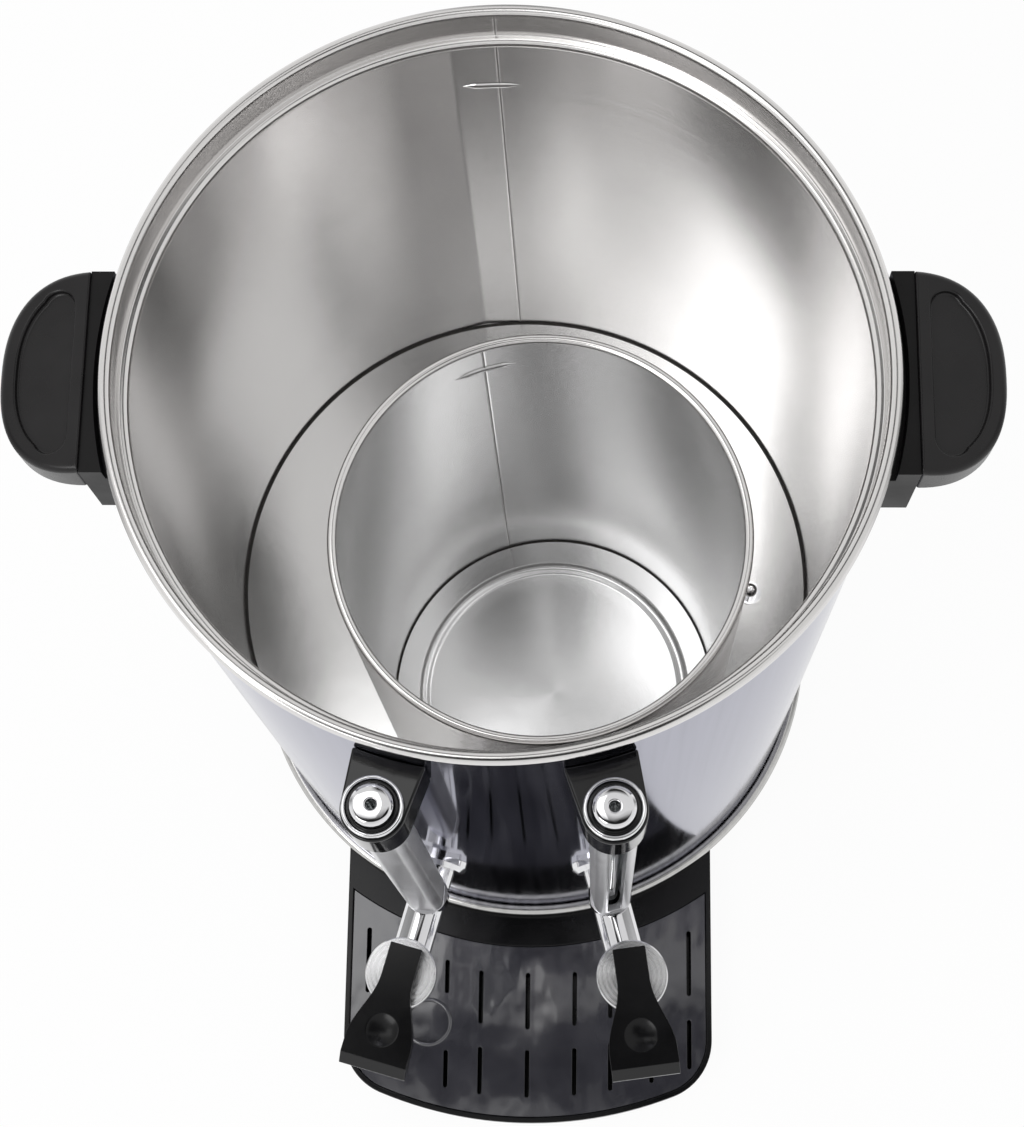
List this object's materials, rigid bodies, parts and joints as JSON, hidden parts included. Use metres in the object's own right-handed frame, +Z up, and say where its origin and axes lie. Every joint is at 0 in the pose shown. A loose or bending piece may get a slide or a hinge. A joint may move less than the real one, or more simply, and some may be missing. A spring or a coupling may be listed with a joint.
{
  "type": "electric samovar urn",
  "caption": "Two-chamber steel hot-drink urn with an inner tea pot, lever taps with level gauges, side handles and a drip tray.",
  "frame": {"origin": "tank axis in the standing face", "axes": "+Z up, -Y front with the taps and tray, +X right handle"},
  "size_m": [0.397, 0.459, 0.502],
  "materials": {
    "shell": "mirror polished",
    "tank": "satin brushed",
    "heater": "cast",
    "element": "dark oxidised",
    "ceramic": "matte",
    "black": "satin",
    "gloss_black": "glossy",
    "rubber": "matte",
    "lamp": "translucent",
    "scale": "printed",
    "glass": "clear",
    "chrome": "polished"
  },
  "bodies": {
    "urn": {"outer_shell": "shell", "bottom_ring": "shell", "tank_wall": "tank", "rim_ring": "tank", "tank_floor": "tank", "pot_wall": "tank", "pot_rim": "tank", "pot_floor": "tank", "heater_plate": "heater", "heating_element": "element", "thermostat_body": "ceramic", "base_housing": "black", "base_plate": "black", "handle_bracket_left": "black", "handle_bracket_right": "black", "handle_grip_left": "black", "handle_grip_right": "black", "control_panel": "black", "thermal_cutout": "black", "mains_inlet": "gloss_black", "gauge_bracket_left": "gloss_black", "gauge_bracket_right": "gloss_black", "base_feet": "rubber", "tap_spacers": "rubber", "tap_seal_left": "rubber", "pot_spacer": "rubber", "pot_seal": "rubber", "gauge_seals": "rubber", "pilot_lamp": "lamp", "gauge_scales": "scale", "gauge_glass_left": "glass", "gauge_glass_right": "glass", "floor_probe": "chrome", "probe_nut": "chrome", "base_screws": "chrome", "inlet_pins": "chrome", "handle_screws": "chrome", "tap_body_left": "chrome", "tap_body_right": "chrome", "tap_flange_left": "chrome", "tap_flange_right": "chrome", "tap_nut_left": "chrome", "tap_nut_right": "chrome", "tap_bonnet_left": "chrome", "tap_bonnet_right": "chrome", "lever_pin_left": "chrome", "lever_pin_right": "chrome", "gauge_guard_left": "chrome", "gauge_guard_right": "chrome", "gauge_cap_left": "chrome", "gauge_cap_right": "chrome"},
    "lever_left": {"tap_lever_left": "gloss_black"},
    "lever_right": {"tap_lever_right": "gloss_black"},
    "stem_left": {"valve_stem_left": "chrome"},
    "stem_right": {"valve_stem_right": "chrome"},
    "tray": {"drip_tray": "gloss_black"},
    "grid": {"drip_grid": "gloss_black"},
    "knob": {"thermostat_knob": "black"},
    "rocker": {"switch_rocker": "gloss_black"}
  },
  "joints": [
    {"name": "lever_left_press", "type": "hinge", "parent": "urn", "child": "lever_left", "pos_m": [-0.06004, -0.22099, 0.2149], "axis": [0.965, -0.2622, 0], "range_deg": [0, 18], "stiffness_Nm_per_rad": 0.35, "springref_deg": -20.05},
    {"name": "lever_right_press", "type": "hinge", "parent": "urn", "child": "lever_right", "pos_m": [0.05861, -0.22129, 0.2149], "axis": [0.9898, 0.1426, 0], "range_deg": [0, 18], "stiffness_Nm_per_rad": 0.35, "springref_deg": -20.05},
    {"name": "stem_left_lift", "type": "slide", "parent": "urn", "child": "stem_left", "axis": [0, 0, 1], "range_m": [0, 0.004]},
    {"name": "stem_right_lift", "type": "slide", "parent": "urn", "child": "stem_right", "axis": [0, 0, 1], "range_m": [0, 0.004]},
    {"name": "tray_pull", "type": "slide", "parent": "urn", "child": "tray", "axis": [0, -1, 0], "range_m": [0, 0.12]},
    {"name": "grid_lift", "type": "slide", "parent": "tray", "child": "grid", "axis": [0, 0, 1], "range_m": [0, 0.06]},
    {"name": "knob_turn", "type": "hinge", "parent": "urn", "child": "knob", "pos_m": [0, 0.165, 0.109], "axis": [0, 1, 0], "range_deg": [0, 270]},
    {"name": "rocker_tip", "type": "hinge", "parent": "urn", "child": "rocker", "pos_m": [0.033, 0.159, 0.109], "axis": [1, 0, 0], "range_deg": [-8, 8]}
  ],
  "couplings": [
    {"joint": "stem_left_lift", "follows": "lever_left_press", "m_per_rad": 0.0124},
    {"joint": "stem_right_lift", "follows": "lever_right_press", "m_per_rad": 0.0124}
  ]
}
